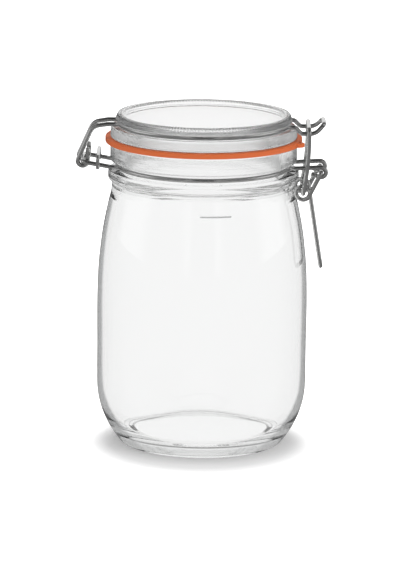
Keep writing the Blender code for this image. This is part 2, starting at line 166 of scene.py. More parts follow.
def held(path, hold):
    """The same path with a point at the distance hold inside both ends of each run that is longer than
    four times that distance."""
    step = np.diff(path, axis=0)
    length = np.linalg.norm(step, axis=1)
    inward = step / np.maximum(length, SAME_POINT)[:, None] * hold
    candidates = np.stack([path[:-1], path[:-1] + inward, path[1:] - inward], 1)
    long_run = length > 4 * hold
    keep = np.stack([np.full(len(step), True), long_run, long_run], 1)
    return np.concatenate([candidates[keep], path[-1:]])


def smooth_run(radii, heights, count):
    """A smooth curve through given radii at given heights: a cubic between each pair, with the slope
    at a point taken from its two neighbours."""
    radii, heights = np.asarray(radii, float), np.asarray(heights, float)
    slope = np.gradient(radii, heights)
    at = np.linspace(heights[0], heights[-1], count)
    k = np.clip(np.searchsorted(heights, at, side="right") - 1, 0, len(heights) - 2)
    width = heights[k + 1] - heights[k]
    t = (at - heights[k]) / width
    value = (2 * t**3 - 3 * t**2 + 1) * radii[k] + (t**3 - 2 * t**2 + t) * width * slope[k]
    value += (3 * t**2 - 2 * t**3) * radii[k + 1] + (t**3 - t**2) * width * slope[k + 1]
    return np.stack([value, at], -1)


# %% [markdown]
# ## The glass body
# The body is turned: a round heel on a narrow bearing ring, a nearly straight wall, a long shoulder,
# and a neck with a bead, the groove for the neck wire, and the ring that carries the rubber. The
# inside follows the outside three to four millimetres in, as in a real pressed jar. A short raised line
# on the shoulder says how high to fill the jar: points near it are pushed out along their radius by a
# smooth bump, and the profile has its points closest together there. Its crest also gets painted edge
# shade, which darkens the line.

# %% Sizes of the body
BODY_R, BODY_H, WALL, INNERMOST_R = 54.5 * MM, 157.35 * MM, 3.4 * MM, 1.5 * MM
NECK_R, BEAD_R, GROOVE_R, BORE_R, ROOT_R = 48.2 * MM, 49.3 * MM, 43.35 * MM, 40.0 * MM, 47.3 * MM
GROOVE_TOP_Z, GROOVE_Z, BEAD_Z, ROOT_Z = 148.0 * MM, 143.4 * MM, 138.8 * MM, 135.0 * MM
WALL_TOP_Z, HEEL_H, INNER_HEEL_H, FLOOR_R, FLOOR_Z = 80.0 * MM, 32.0 * MM, 30.0 * MM, 41.0 * MM, 5.8 * MM
INNER_WALL_TOP_Z, BORE_FOOT_Z = 129.0 * MM, 144.0 * MM
INNER_ROOT_R, INNER_ROOT_Z = 44.3 * MM, 134.0 * MM
BASE_RING_R, BASE_RING_INNER_R, HEEL_Z = 43.4 * MM, 38.7 * MM, 0.9 * MM
PUSH_UP_R, PUSH_UP_Z = 35.5 * MM, 2.4 * MM
HEEL_POWER, INNER_HEEL_POWER = 2.2, 3.5
SHOULDER_UP = np.array([0, 0.17, 0.29, 0.41, 0.53, 0.65, 0.76, 0.86, 0.93, 1.0])
SHOULDER_IN = np.array([0, 0.045, 0.11, 0.205, 0.32, 0.47, 0.64, 0.805, 0.935, 1.0])
FILL_LINE_Z, LINE_REACH, LINE_GAP, RUN_GAP, UPPER_Z = 127.6 * MM, 2.0 * MM, 0.12 * MM, 2.0 * MM, 120.0 * MM
print("body:", round(2 * BODY_R / MM, 1), "mm across,", round(BODY_H / MM, 2), "mm tall")


# %% Wall, heel and fill line
def shoulder(wall_r, count):
    """The wall's radius less a share of the shoulder's depth, at shares of the shoulder's height. One
    point in four is kept on the plain wall, one in two on the low shoulder and all of them above it."""
    rise = (ROOT_Z - WALL_TOP_Z) * SHOULDER_UP
    heights = np.concatenate([[HEEL_H, 0.6 * WALL_TOP_Z], WALL_TOP_Z + rise])
    radii = np.concatenate([[wall_r, wall_r], wall_r - (BODY_R - ROOT_R) * SHOULDER_IN])
    run = smooth_run(radii, heights, count)
    stride = np.select([run[:, 1] < WALL_TOP_Z, run[:, 1] < UPPER_Z], [4, 2], 1)
    return run[np.arange(count) % stride == 0]


def heel(start_r, start_z, wall_r, top_z, power, count):
    """A radius that grows from the base to the wall as 1 - (1 - height share) to a power."""
    share = (1 - np.cos(np.linspace(0, math.pi / 2, count)))
    radius = start_r + (wall_r - start_r) * (1 - (1 - share) ** power)
    return np.stack([radius, start_z + (top_z - start_z) * share], -1)


def fine_wall(wall):
    """A wall, given upwards, with its points closest together within reach of the fill line and its
    runs held above that."""
    first, last = np.searchsorted(wall[:, 1], [FILL_LINE_Z - LINE_REACH, FILL_LINE_Z + LINE_REACH])
    at_line = evened(wall[first:last + 1], LINE_GAP)
    return np.concatenate([wall[:first], at_line[:-1], held(wall[last:], LINE_GAP)])


# %% Profile of the body
inner_top_z = FLOOR_Z + INNER_HEEL_H
inner_heel = heel(FLOOR_R, FLOOR_Z, BODY_R - WALL, inner_top_z, INNER_HEEL_POWER, 30)
inner_wall = shoulder(BODY_R - WALL, 90)
inner_wall = inner_wall[(inner_wall[:, 1] > inner_top_z + MM) & (inner_wall[:, 1] < INNER_WALL_TOP_Z)]
neck = rounded(
    [inner_wall[-1], (INNER_ROOT_R, INNER_ROOT_Z), (BORE_R, BORE_FOOT_Z), (BORE_R, BODY_H),
     (NECK_R, BODY_H), (NECK_R, GROOVE_TOP_Z), (GROOVE_R, GROOVE_TOP_Z), (GROOVE_R, GROOVE_Z),
     (BEAD_R, GROOVE_Z), (BEAD_R, BEAD_Z), (ROOT_R + 0.2 * MM, BEAD_Z - 1.0 * MM), (ROOT_R, ROOT_Z)],
    np.array([16.0, 16.0, 1.2, 0.8, 0.9, 0.8, 0.9, 1.4, 1.1, 0.7]) * MM,
)
outer_wall = shoulder(BODY_R, 110)
outer_heel = heel(BASE_RING_R, HEEL_Z, BODY_R, HEEL_H, HEEL_POWER, 34)
foot = rounded(
    [(BASE_RING_R, HEEL_Z), (BASE_RING_R - 0.7 * MM, 0), (BASE_RING_INNER_R, 0), (PUSH_UP_R, PUSH_UP_Z),
     (2 * MM, PUSH_UP_Z)],
    np.array([0.5, 0.6, 2.5]) * MM,
)
floor_run = np.stack([np.linspace(INNERMOST_R, FLOOR_R - MM, 12), np.full(12, FLOOR_Z)], -1)
inner_climb = fine_wall(np.concatenate([inner_wall[:-1], neck[:2]]))
inner_side = np.concatenate([floor_run, evened(inner_heel, RUN_GAP), inner_climb[:-1]])
outer_side = np.concatenate([fine_wall(outer_wall)[-2::-1], evened(outer_heel[::-1], RUN_GAP)[1:]])
mouth_side = held(neck[1:], LINE_GAP)
body_profile = np.concatenate([inner_side, mouth_side, outer_side, evened(foot, RUN_GAP)[1:]])[::-1]
print("body profile:", len(body_profile), "points")


# %% Turn the body
def turned_grid(profile, columns):
    """Points (r cos a, r sin a, z) for each profile point (r, z) and each of the even angles a."""
    angle = np.linspace(0, 2 * math.pi, columns, endpoint=False)
    radius, height = profile[:, :1], profile[:, 1:]
    return np.stack([radius * np.cos(angle), radius * np.sin(angle), height + 0 * angle], -1), angle


def turned_piece(name, grid, outside):
    """A turned grid closed by a point on the axis at the height of each end row. The attribute outside
    is 1 on the outer skin, 2 on the crest of a raised line and 0 elsewhere; it sets where the glass gets
    painted edge shade."""
    ends = [(0.0, 0.0, grid[0, 0, 2]), (0.0, 0.0, grid[-1, 0, 2])]
    piece = closed_grid(name, grid, *ends)
    values = np.concatenate([outside.ravel(), outside[[0, -1], 0]])
    layer = piece.data.attributes.new("outside", "FLOAT", "POINT")
    layer.data.foreach_set("value", values.astype(np.float32))
    return piece


def raised_line(grid, angle, at_angle, at_z, half_length, half_height, rise):
    """Pushes the wall's points out by the rise / (1 + (x / half length)^16) / (1 + (z / half height)^4),
    where x runs round the wall from the line's middle and z up from it. Returns the share of the rise."""
    radius = np.hypot(grid[..., 0], grid[..., 1])
    across = np.angle(np.exp(1j * (angle - at_angle)))[None, :] * radius / half_length
    up = (grid[..., 2] - at_z) / half_height
    share = 1 / (1 + across**16) / (1 + up**4) * (radius > BORE_R + WALL)
    grid[..., :2] *= (1 + rise * share / np.maximum(radius, MM))[..., None]
    return share


# %% The body with its fill line
BODY_COLUMNS, LINE_ANGLE = 240, math.radians(-82.5)
LINE_HALF_LENGTH, LINE_HALF_HEIGHT, LINE_RISE = 9.2 * MM, 0.45 * MM, 0.3 * MM
PLAIN_FROM_Z, PLAIN_TO_Z, SKIN_MIN_R = 129 * MM, 144 * MM, 42 * MM
body_grid, body_angle = turned_grid(body_profile, BODY_COLUMNS)
line_share = raised_line(body_grid, body_angle, LINE_ANGLE, FILL_LINE_Z,
                         LINE_HALF_LENGTH, LINE_HALF_HEIGHT, LINE_RISE)
body_r, body_z = body_profile.T
before_mouth = np.arange(len(body_profile)) < np.argmax(body_z)
on_bead = (body_z > PLAIN_FROM_Z) & (body_z < PLAIN_TO_Z)
# Where the body gets painted edge shade: the outer skin below the mouth, but not round the bead.
outer_skin = before_mouth & (body_r > SKIN_MIN_R) & ~on_bead
# The fill line's crest adds to it, so the line is drawn by its bump and by painted edge shade.
glass_body = turned_piece("glass_body", body_grid, outer_skin[:, None] + line_share)

# %% [markdown]
# ## The glass lid
# The lid is turned too. Its flange presses on the rubber, a waist above it holds the lid wire, and the
# rim round the sunk panel is milled: about 170 small teeth run round the rim's outer top edge. Each
# tooth has four columns of points, drawn in by a cosine, which the smooth grid turns into a ripple. The
# small corners of the plug are seen only through glass, and are made with fewer points.

# %% Profile of the lid
LID_Z, FLANGE_R, WAIST_R, LIP_R, RIM_R = 160.5 * MM, 48.2 * MM, 42.55 * MM, 45.6 * MM, 44.5 * MM
FLANGE_TOP_Z, LIP_Z, RIM_TOP_Z, PANEL_Z = 165.8 * MM, 168.7 * MM, 172.2 * MM, 168.8 * MM
UNDERSIDE_Z, PLUG_Z, SEAT_Z = 164.2 * MM, 155.0 * MM, 158.1 * MM
PLUG_R, SEAT_R, RIM_INNER_R, PANEL_R = 37.8 * MM, 40.7 * MM, 42.0 * MM, 40.8 * MM
LID_GAP = 2.2 * MM
plug = rounded(
    [(28.5 * MM, UNDERSIDE_Z), (32.6 * MM, UNDERSIDE_Z), (34.0 * MM, PLUG_Z), (PLUG_R, PLUG_Z),
     (PLUG_R, SEAT_Z), (SEAT_R, SEAT_Z), (SEAT_R, LID_Z), (WAIST_R, LID_Z)],
    np.array([1.8, 0.9, 0.9, 0.5, 0.4, 0.4]) * MM, COARSE_ARC_STEP,
)
rim = rounded(
    [(WAIST_R, LID_Z), (FLANGE_R, LID_Z), (FLANGE_R - 0.3 * MM, FLANGE_TOP_Z), (WAIST_R, FLANGE_TOP_Z),
     (WAIST_R, LIP_Z), (LIP_R, LIP_Z), (LIP_R, LIP_Z + 0.9 * MM), (RIM_R, RIM_TOP_Z),
     (RIM_INNER_R, RIM_TOP_Z), (PANEL_R, PANEL_Z), (36.6 * MM, PANEL_Z)],
    np.array([0.5, 1.2, 0.7, 0.6, 0.35, 0.5, 0.35, 0.6, 0.8]) * MM,
)
edge_run = evened(np.concatenate([plug, rim[1:]]), LID_GAP)
lid_profile = np.concatenate([
    [(INNERMOST_R, UNDERSIDE_Z), (20 * MM, UNDERSIDE_Z)], edge_run,
    [(20 * MM, PANEL_Z), (INNERMOST_R, PANEL_Z)],
])
print("lid profile:", len(lid_profile), "points")

# %% Turn the lid and mill its rim
TEETH, COLUMNS_PER_TOOTH = 170, 4
TOOTH_DEPTH, TOOTH_REACH = 0.5 * MM, 0.8 * MM
lid_grid, lid_angle = turned_grid(lid_profile, TEETH * COLUMNS_PER_TOOTH)
lid_r, lid_z = lid_profile.T
on_edge = np.exp(-((lid_r - RIM_R) / TOOTH_REACH) ** 2 - ((lid_z - RIM_TOP_Z) / TOOTH_REACH) ** 2)
tooth = 0.5 - 0.5 * np.cos(TEETH * lid_angle)
cut = TOOTH_DEPTH * on_edge[:, None] * tooth[None, :]
lid_grid[..., :2] *= (1 - cut / RIM_R)[..., None]
lid_grid[..., 2] -= cut
# Only the rim's outside gets the lid's painted edge shade.
on_rim = (lid_r > RIM_R - 0.1 * MM) & (lid_z > LIP_Z)
glass_lid = turned_piece("glass_lid", lid_grid, np.broadcast_to(on_rim[:, None], lid_grid.shape[:2]))

# %% [markdown]
# ## Round wire along a path
# Every wire is one piece of drawn steel, bent over pins. A wire is a circle carried along a path. The
# circle needs two directions square to the path: both come from cross products with one fixed slanted
# direction, which never lies along any of these wires, so no loop over the path is needed. The UV map
# runs along the wire in millimetres, for the fine lines that drawing leaves.

# %% Carry a circle along a path
WIRE_R, WIRE_GAP, WIRE_COLUMNS, BEND_STEP = 1.15 * MM, 2.5 * MM, 20, math.radians(7)
SLANT = np.array([1.0, 1.0, 1.0]) / math.sqrt(3)
END_INSET, END_SIZE = np.array([0.0, 0.12, 0.4]), np.array([0.72, 0.93, 1.0])


def wire(name, path, radius):
    """Points path + radius * (cos a * side + sin a * up) at each station, with a small round at each
    end made by three stations of shrinking radius."""
    path = evened(np.asarray(path, float), WIRE_GAP)
    inset = END_INSET * radius
    tip = path[0] + (path[1] - path[0]) / np.linalg.norm(path[1] - path[0]) * inset[:, None]
    tail = path[-1] + (path[-2] - path[-1]) / np.linalg.norm(path[-2] - path[-1]) * inset[::-1, None]
    stations = np.concatenate([tip, path[1:-1], tail])
    size = np.full(len(stations), radius)
    size[:3] = size[-3:][::-1] = radius * END_SIZE
    tangent = np.gradient(stations, axis=0)
    tangent /= np.linalg.norm(tangent, axis=1)[:, None]
    side = np.cross(tangent, SLANT)
    side /= np.linalg.norm(side, axis=1)[:, None]
    up = np.cross(tangent, side)
    angle = np.linspace(0, 2 * math.pi, WIRE_COLUMNS, endpoint=False)
    circle = np.cos(angle)[None, :, None] * side[:, None] + np.sin(angle)[None, :, None] * up[:, None]
    grid = stations[:, None] + circle * size[:, None, None]
    length = np.concatenate([[0], np.cumsum(np.linalg.norm(np.diff(stations, axis=0), axis=1))])
    uv = np.stack(np.broadcast_arrays((angle / (2 * math.pi))[None, :], length[:, None] / MM), -1)
    return closed_grid(name, grid, path[0], path[-1], uv)


def arc_xz(centre, radius, start, end, y_start, y_end):
    """An arc about the Y direction, start to end in radians, its Y place moving evenly."""
    angle = np.linspace(start, end, math.ceil(abs(end - start) / BEND_STEP) + 1)
    y = np.linspace(y_start, y_end, len(angle))
    return np.stack([centre[0] + radius * np.cos(angle), y, centre[1] + radius * np.sin(angle)], -1)


def mirrored(half):
    """A path that ends on the XZ plane, carried on through its own reflection in that plane."""
    half = np.asarray(half)
    return np.concatenate([half, half[-2::-1] * [1, -1, 1]])


# %% [markdown]
# ## The two ring wires
# The neck wire and the lid wire each leave their ring at hinge and clasp through a small bend. A bend
# of radius f that touches a ring of radius R and a straight line at distance b from the middle has its
# centre at distance R + f from the axis and b + f from the line's side, which gives its place at once.

# %% Front half of a ring
EXIT_R = 3.0 * MM


def front_ring(ring_r, hinge_y, clasp_y, height):
    """Front half of a ring from its exit at the hinge to its exit at the clasp, both along X."""
    quarter = math.pi / 2
    centre_x = [math.sqrt((ring_r + EXIT_R) ** 2 - (y + EXIT_R) ** 2) for y in (hinge_y, clasp_y)]
    lean = [math.atan2(y + EXIT_R, x) for y, x in zip((hinge_y, clasp_y), centre_x)]
    first = np.linspace(quarter, lean[0], 12)[:-1, None]
    ring = np.linspace(math.pi + lean[0], 2 * math.pi - lean[1], 90)[:, None]
    last = np.linspace(math.pi - lean[1], quarter, 12)[1:, None]
    hinge_bend = [-centre_x[0], -(hinge_y + EXIT_R)] + EXIT_R * np.hstack([np.cos(first), np.sin(first)])
    clasp_bend = [centre_x[1], -(clasp_y + EXIT_R)] + EXIT_R * np.hstack([np.cos(last), np.sin(last)])
    flat = np.concatenate([hinge_bend, ring_r * np.hstack([np.cos(ring), np.sin(ring)]), clasp_bend])
    return np.column_stack([flat, np.full(len(flat), height)])


# %% Neck wire, with the hinge pin and the two eyes
NECK_WIRE_Z, LID_WIRE_Z = 145.5 * MM, 167.25 * MM
NECK_RING_R, LID_RING_R = 44.8 * MM, 44.0 * MM
PIN, LEVER, COIL = (-62.1 * MM, 148.3 * MM), (60.4 * MM, 143.7 * MM), (51.3 * MM, 133.1 * MM)
EYE_R, EYE_TURN, EYE_TAIL = 2.6 * MM, math.radians(205), 4.2 * MM
PIN_Y, EYE_Y, ARM_Y, BAIL_Y = 11.5 * MM, 9.0 * MM, 11.6 * MM, 14.2 * MM
neck_ring = front_ring(NECK_RING_R, PIN_Y, EYE_Y, NECK_WIRE_Z)
pin_half = rounded([(PIN[0], 0, PIN[1]), (PIN[0], -PIN_Y, PIN[1]), neck_ring[0]], [1.8 * MM])
eye = arc_xz(LEVER, EYE_R, math.pi / 2, math.pi / 2 - EYE_TURN, -EYE_Y, -EYE_Y)
eye_end = eye[-1] + (eye[-1] - eye[-2]) / np.linalg.norm(eye[-1] - eye[-2]) * EYE_TAIL
neck_half = np.concatenate([pin_half[:-1], neck_ring, eye, [eye_end]])[::-1]
steel_neck_wire = wire("steel_neck_wire", mirrored(neck_half), WIRE_R)

# %% Lid wire, with its two hooks and its nose
LEG_Y, HOOK_Y, PRONG_Y, NOSE_Y = 7.1 * MM, 8.7 * MM, 10.8 * MM, 9.0 * MM
LEAN, LEG_DROP, LEG_FOOT_X = math.radians(24), 1.25 * MM, -49.6 * MM
PRONG_DROP, NOSE_X, NOSE_RISE, POST_RISE = 3.2 * MM, 61.6 * MM, 4.6 * MM, 6.9 * MM
lid_ring = front_ring(LID_RING_R, LEG_Y, PRONG_Y, LID_WIRE_Z)
hook = arc_xz(PIN, EYE_R, 0.0, -math.pi - LEAN, -HOOK_Y, -HOOK_Y)
leg_top_z = LID_WIRE_Z - LEG_DROP
leg_x = hook[-1][0] + (leg_top_z - hook[-1][2]) * math.tan(LEAN)
leg = rounded([hook[-1], (leg_x, -LEG_Y, leg_top_z), (LEG_FOOT_X, -LEG_Y, LID_WIRE_Z), lid_ring[0]],
              np.array([5.5, 5.5]) * MM)
prong_z = LID_WIRE_Z - PRONG_DROP
nose_z = prong_z + NOSE_RISE
prong = rounded(
    [lid_ring[-1], (46.8 * MM, -PRONG_Y, LID_WIRE_Z), (50.0 * MM, -PRONG_Y, prong_z),
     (57.2 * MM, -PRONG_Y, prong_z), (NOSE_X, -NOSE_Y, nose_z), (NOSE_X, 0, nose_z)],
    np.array([2.0, 2.0, 6.0, 3.2]) * MM,
)
post_top = [(PIN[0] + EYE_R, -HOOK_Y, PIN[1] + POST_RISE)]
lid_half = np.concatenate([post_top, hook, leg[1:-1], lid_ring, prong[1:]])
steel_lid_wire = wire("steel_lid_wire", mirrored(lid_half), WIRE_R)

# %% [markdown]
# ## The small wires of hinge and clasp
# A staple holds the neck wire's branches together at the hinge. At the clasp the lever's two arms sit
# in the neck wire's eyes, each arm makes one turn round the end of the bail, and the bail pulls the
# lid wire's nose down. The layers lie side by side along Y, a wire's width and a little air apart.

# %% Staple
CLIP_X, CLIP_Y, CLIP_TOP_Z, CLIP_LEG, CLIP_WIRE_R = -54.2 * MM, 13.95 * MM, 151.3 * MM, 6.3 * MM, 1.0 * MM
clip = rounded(
    [(CLIP_X, -CLIP_Y, CLIP_TOP_Z - CLIP_LEG), (CLIP_X, -CLIP_Y, CLIP_TOP_Z), (CLIP_X, 0, CLIP_TOP_Z)],
    [1.6 * MM],
)
steel_neck_clip = wire("steel_neck_clip", mirrored(clip), CLIP_WIRE_R)

# %% Lever, with a coil round each end of the bail
COIL_R, END_Y, GRIP_Y = 3.45 * MM, 6.85 * MM, 10.8 * MM
GRIP_X, GRIP_Z = 61.1 * MM, 94.0 * MM
coil_start = math.atan2(GRIP_Z - COIL[1], GRIP_X - COIL[0])
coil_start += math.acos(COIL_R / math.hypot(GRIP_X - COIL[0], GRIP_Z - COIL[1]))
reach = (LEVER[0] - COIL[0], LEVER[1] - COIL[1])
coil_end = 1.5 * math.pi + math.atan2(reach[1], reach[0]) + math.asin(COIL_R / math.hypot(*reach))
coil = arc_xz(COIL, COIL_R, coil_start, coil_end, -EYE_Y, -ARM_Y)
grip = rounded([(GRIP_X, 0, GRIP_Z), (GRIP_X, -GRIP_Y, GRIP_Z), coil[0]], [4.0 * MM])
arm = rounded([coil[-1], (LEVER[0], -ARM_Y, LEVER[1]), (LEVER[0], -END_Y, LEVER[1])], [1.6 * MM])
lever_half = np.concatenate([grip[:-1], coil, arm[1:]])[::-1]
steel_lever = wire("steel_lever", mirrored(lever_half), WIRE_R)

# %% Bail, with its legs a little bowed
BAIL_X, BAIL_RISE, BOW, BOW_POINTS = 53.9 * MM, 2.6 * MM, 0.9 * MM, 11
bail_z = prong_z + BAIL_RISE
up_share = np.linspace(0, 1, BOW_POINTS + 2)[1:-1]
bowed = np.stack([COIL[0] + (BAIL_X - COIL[0]) * up_share + BOW * np.sin(math.pi * up_share),
                  np.full(BOW_POINTS, -BAIL_Y), COIL[1] + (bail_z - COIL[1]) * up_share], -1)
bail_corners = np.concatenate([[(COIL[0], -END_Y, COIL[1]), (COIL[0], -BAIL_Y, COIL[1])], bowed,
                               [(BAIL_X, -BAIL_Y, bail_z), (BAIL_X, 0, bail_z)]])
bail_half = rounded(bail_corners, [1.6 * MM] + [0] * BOW_POINTS + [2.6 * MM])
steel_bail = wire("steel_bail", mirrored(bail_half), WIRE_R)

# %% [markdown]
# ## The rubber ring
# The ring is punched from a flat sheet of rubber about two and a half millimetres thick, in one piece
# with a small round tab for pulling it off, and the tab has a hole. The ring is a closed section
# carried round the axis. The tab is a section carried round its hole, from the hole out to the edge.

# %% Section of the ring, carried round the axis
RUBBER_Z, RUBBER_T, RUBBER_R, RUBBER_INNER_R = 157.65 * MM, 2.55 * MM, 50.8 * MM, 41.0 * MM
TAB_ANGLE, TAB_MID_R, TAB_R, HOLE_R, SKIN = math.radians(-17), 50.4 * MM, 3.5 * MM, 0.9 * MM, 0.3 * MM


def ring_surface(grid):
    """Points and quads of a grid whose last row joins its first, as its last column does."""
    rows, columns, _ = grid.shape
    return grid.reshape(-1, 3), grid_faces(rows + 1, columns) % (rows * columns)


rubber_top, rubber_mid = RUBBER_Z + RUBBER_T, RUBBER_Z + RUBBER_T / 2
section = rounded(
    [(RUBBER_INNER_R, rubber_mid), (RUBBER_INNER_R, RUBBER_Z), (RUBBER_R, RUBBER_Z), (RUBBER_R, rubber_top),
     (RUBBER_INNER_R, rubber_top), (RUBBER_INNER_R, rubber_mid)],
    np.array([0.3, 0.35, 0.35, 0.3]) * MM,
)[:-1]
section_grid, _ = turned_grid(evened(section, 2.0 * MM), 240)
ring_points, ring_quads = ring_surface(section_grid)
print("rubber ring:", len(ring_points), "points")

# %% Tab, carried round its hole, and both as one piece
tab_at = np.array([math.cos(TAB_ANGLE), math.sin(TAB_ANGLE)])
turn = np.linspace(0, 2 * math.pi, 64, endpoint=False)
unit_circle = np.stack([np.cos(turn), np.sin(turn)], -1)
hole_rim = tab_at * RUBBER_R + HOLE_R * unit_circle
tab_rim = tab_at * TAB_MID_R + TAB_R * unit_circle
low, high = RUBBER_Z + SKIN, rubber_top - SKIN
out_share = np.array([0, 0.04, 0.5, 0.93, 0.98, 1, 1, 0.98, 0.93, 0.5, 0.04, 0])
corner_in = np.array([0.2, 0, 0, 0, 0.1, 0.35]) * MM
tab_z = np.concatenate([low + corner_in, high - corner_in[::-1]])
tab_flat = hole_rim[None] + (tab_rim - hole_rim)[None] * out_share[:, None, None]
tab_height = np.broadcast_to(tab_z[:, None, None], (*tab_flat.shape[:2], 1))
tab_points, tab_quads = ring_surface(np.concatenate([tab_flat, tab_height], -1))
rubber_ring = mesh_from(
    "rubber_ring", np.concatenate([ring_points, tab_points]),
    np.concatenate([ring_quads, tab_quads + len(ring_points)]), np.zeros((0, 3), int),
)

# %% [markdown]
# ## Shader sums written as Python
# A material's pattern is a sum of simple fields, and sums are easiest to read as sums. The class below
# wraps a socket, so that `a * 0.5 + b` adds the Math nodes that work it out.


# %% A socket that can be added and multiplied
class Field:
    """A number that varies over the surface. Each operator adds one Math node to the material."""

    def __init__(self, tree, socket):
        self.tree, self.socket = tree, socket

    def node(self, kind, settings=None, **inputs):
        """Adds a node, applies its settings, then sets or links each input. An input is given by its
        name, or by its number after an underscore."""
        made = self.tree.nodes.new(kind)
        for key, value in (settings or {}).items():
            setattr(made, key, value)
        for key, value in inputs.items():
            by_number = key[0] == "_"
            slot = made.inputs[int(key[1:]) if by_number else key.replace("_", " ")]
            if isinstance(value, Field):
                self.tree.links.new(value.socket, slot)
            elif isinstance(value, bpy.types.NodeSocket):
                self.tree.links.new(value, slot)
            else:
                slot.default_value = value
        return made

    def math(self, operation, other, flipped=False):
        """One Math node on this field and another field or number."""
        pair = (other, self) if flipped else (self, other)
        made = self.node("ShaderNodeMath", {"operation": operation}, _0=pair[0], _1=pair[1])
        return Field(self.tree, made.outputs[0])

    def __add__(self, other):
        return self.math("ADD", other)

    def __mul__(self, other):
        return self.math("MULTIPLY", other)

    def __sub__(self, other):
        return self.math("SUBTRACT", other)

    def __rsub__(self, other):
        return self.math("SUBTRACT", other, flipped=True)

    def __pow__(self, other):
        return self.math("POWER", other)

    __radd__, __rmul__ = __add__, __mul__


def new_material(name):
    """A material with an empty Principled shader. Returns it with its shader and a tool for adding nodes."""
    material = bpy.data.materials.new(name)
    material.use_nodes = True
    tree = material.node_tree
    return material, tree.nodes["Principled BSDF"], Field(tree, None)


def noise(tool, where, scale, detail):
    """A cloudy field between 0 and 1 at a place, whose lumps are about 1 / scale apart."""
    made = tool.node("ShaderNodeTexNoise", Vector=where, Scale=scale, Detail=detail)
    return Field(tool.tree, made.outputs["Factor"] if "Factor" in made.outputs else made.outputs["Fac"])


def place(tool):
    """The point's own coordinates in metres, which stay with the piece when it moves."""
    return tool.node("ShaderNodeTexCoord").outputs["Object"]


# %% [markdown]
# ## Clear pressed glass
# Glass is almost all transmission, and part of its grey comes from the way through it: a Volume
# Absorption takes a little light for every millimetre. In front of plain white that is not enough to
# draw the jar's edges, so the outer skin also gets painted edge shade, a dark tint where it turns away
# from the eye, and the lid's sunk panel gets a painted sheen, matt white at a flat angle, in place of
# the mirror image of a white room.
# Light from lamps passes straight through to the floor, so the jar's shadow stays pale. Pressed glass is
# never quite flat: a broad shallow bump makes the lines in it waver, and the plunger leaves fine rings
# round the neck and the lid. A tint that is worked out from height and radius keeps all of this in place
# when the lid turns, because both are measured on the piece itself.


# %% Height, radius and soft steps
def axis_fields(tool):
    """Fields for the height of a point and for its distance from the axis, in metres."""
    part = tool.node("ShaderNodeSeparateXYZ", Vector=place(tool)).outputs
    x, y, z = (Field(tool.tree, part[axis]) for axis in "XYZ")
    return z, (x * x + y * y) ** 0.5


def above(field, edge, soft):
    """0 where the field is below the edge, 1 where it is above, smooth across the soft width between."""
    made = field.node("ShaderNodeMapRange", {"interpolation_type": "SMOOTHSTEP"}, Value=field,
                      _1=edge - soft / 2, _2=edge + soft / 2)
    return Field(field.tree, made.outputs[0])


# %% Glass shader
# Where painted edge shade and the painted sheen begin, and how the shade changes on the inner skin, low on
# the wall and at the foot.
PAINTED_SHEEN_SLANT, PAINTED_SHEEN_WHITE, LAMP_LIGHT = (0.66, 0.24), (0.76, 0.76, 0.76, 1), (0.72, 0.72, 0.72, 1)
ABSORBED, INNER_SKIN_LESS, FOOT_LESS = (0.03, 0.05, 0.045, 1), 0.78, 3.5
LOW_WALL, FOOT = (26 * MM, 36 * MM), (13 * MM, 9 * MM)


